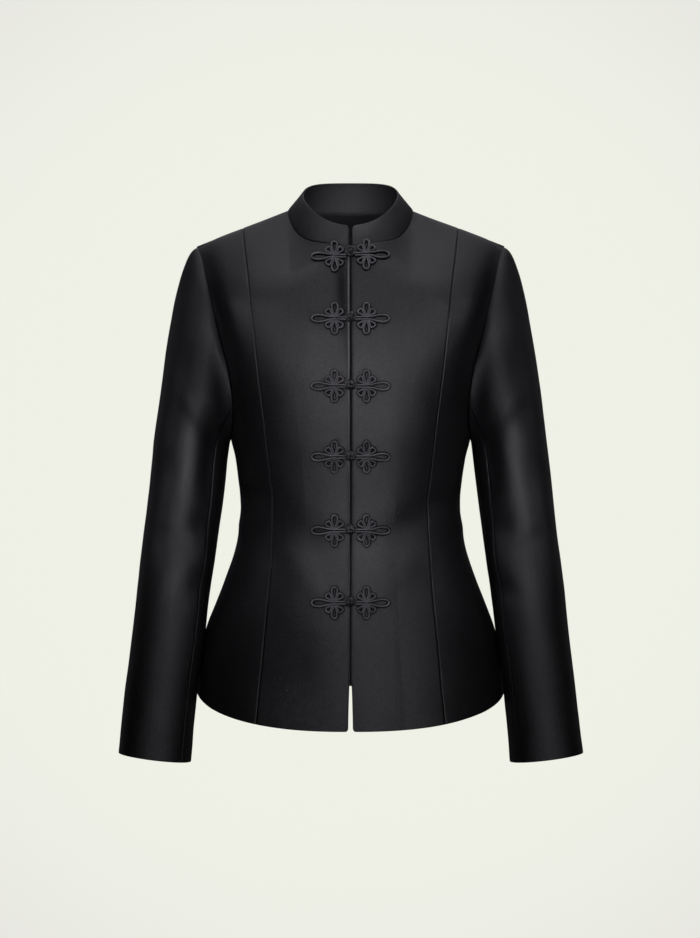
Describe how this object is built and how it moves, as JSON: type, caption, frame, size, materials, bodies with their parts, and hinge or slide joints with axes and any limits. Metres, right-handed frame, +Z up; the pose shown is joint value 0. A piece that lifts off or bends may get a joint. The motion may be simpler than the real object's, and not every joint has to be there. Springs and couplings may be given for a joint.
{
  "type": "tang jacket",
  "caption": "Fitted black satin tang jacket with a stand collar, princess seams, long two-piece sleeves and six flower frogs with knot buttons, in its worn shape.",
  "frame": {"origin": "midway between the two points where the shoulder seams meet the neck seam", "axes": "+Z up the wearer, -Y out of the front, +X towards the wearer's left"},
  "size_m": [0.5484, 0.2522, 0.6935],
  "materials": {
    "satin": "black satin with a soft sheen",
    "facing": "black satin, inner side",
    "cord": "black satin cord"
  },
  "bodies": {
    "root": {"front_centre_left": "satin", "front_centre_right": "satin", "front_side_left": "satin", "front_side_right": "satin", "back_centre_left": "satin", "back_centre_right": "satin", "back_side_left": "satin", "back_side_right": "satin", "sleeve_top_left": "satin", "sleeve_top_right": "satin", "sleeve_under_left": "satin", "sleeve_under_right": "satin", "collar": "satin", "back_neck_facing": "facing", "frog_1_left": "cord", "frog_1_right": "cord", "frog_2_left": "cord", "frog_2_right": "cord", "frog_3_left": "cord", "frog_3_right": "cord", "frog_4_left": "cord", "frog_4_right": "cord", "frog_5_left": "cord", "frog_5_right": "cord", "frog_6_left": "cord", "frog_6_right": "cord", "knot_1": "cord", "knot_2": "cord", "knot_3": "cord", "knot_4": "cord", "knot_5": "cord", "knot_6": "cord"}
  },
  "joints": []
}
